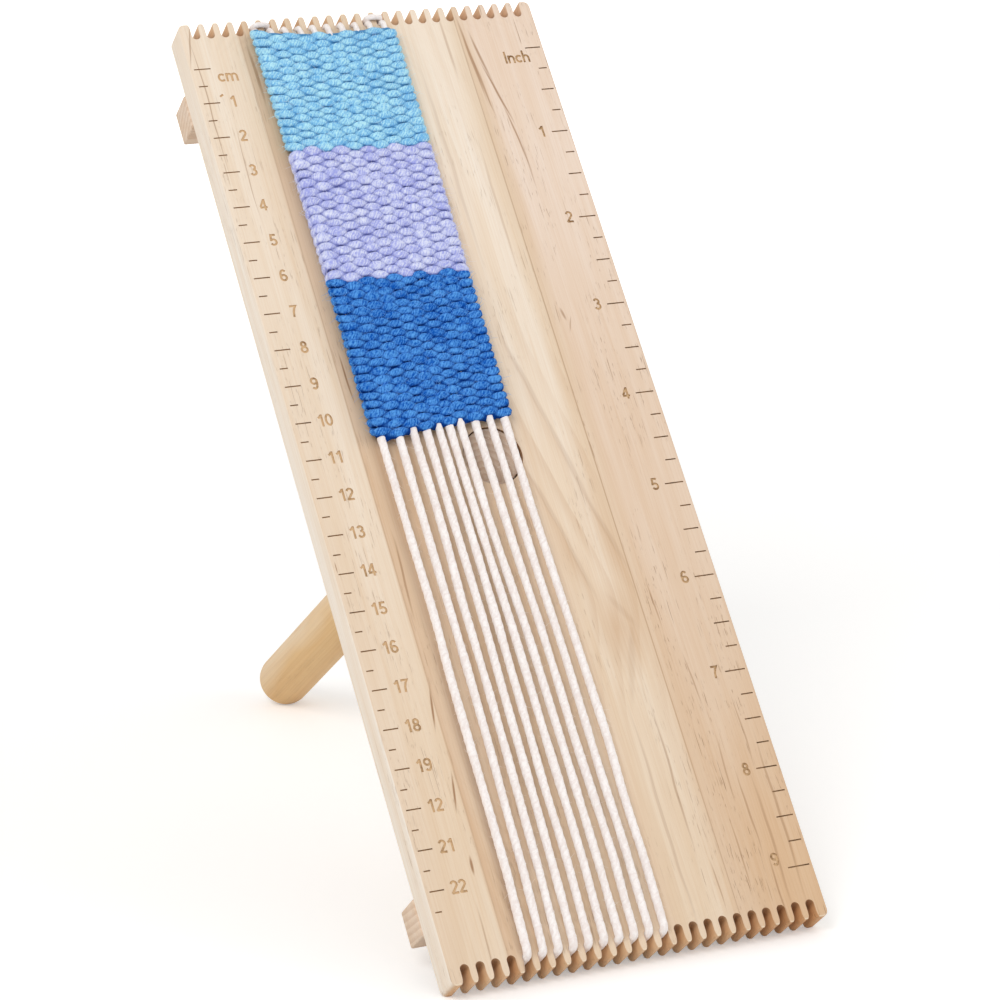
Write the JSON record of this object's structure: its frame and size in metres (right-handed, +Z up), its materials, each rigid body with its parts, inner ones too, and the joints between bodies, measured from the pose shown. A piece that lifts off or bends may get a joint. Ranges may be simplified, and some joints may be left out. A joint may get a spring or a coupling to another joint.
{
  "type": "frame loom",
  "caption": "Small frame loom: a slotted pine board leaning back on a round peg leg, strung with white warp and part woven in bands of blue.",
  "frame": {"origin": "on the floor, under the middle of the loom's outer box", "axes": "+X across the board to the right as seen from the weaver's side, +Y away from the weaver, +Z up"},
  "size_m": [0.0968, 0.2364, 0.2051],
  "materials": {
    "pine": "sanded",
    "beech": "sanded",
    "white_yarn": "matte",
    "light_blue_yarn": "matte",
    "lavender_yarn": "matte",
    "blue_yarn": "matte"
  },
  "bodies": {
    "loom_frame": {"board": "pine", "top_batten": "pine", "bottom_batten": "pine", "warp": "white_yarn", "weft_light_blue": "light_blue_yarn", "weft_lavender": "lavender_yarn", "weft_blue": "blue_yarn"},
    "leg": {"leg": "beech"}
  },
  "joints": [
    {"name": "leg_pull", "type": "slide", "parent": "loom_frame", "child": "leg", "axis": [0, 0.8385, -0.5448], "range_m": [0, 0.02]}
  ]
}
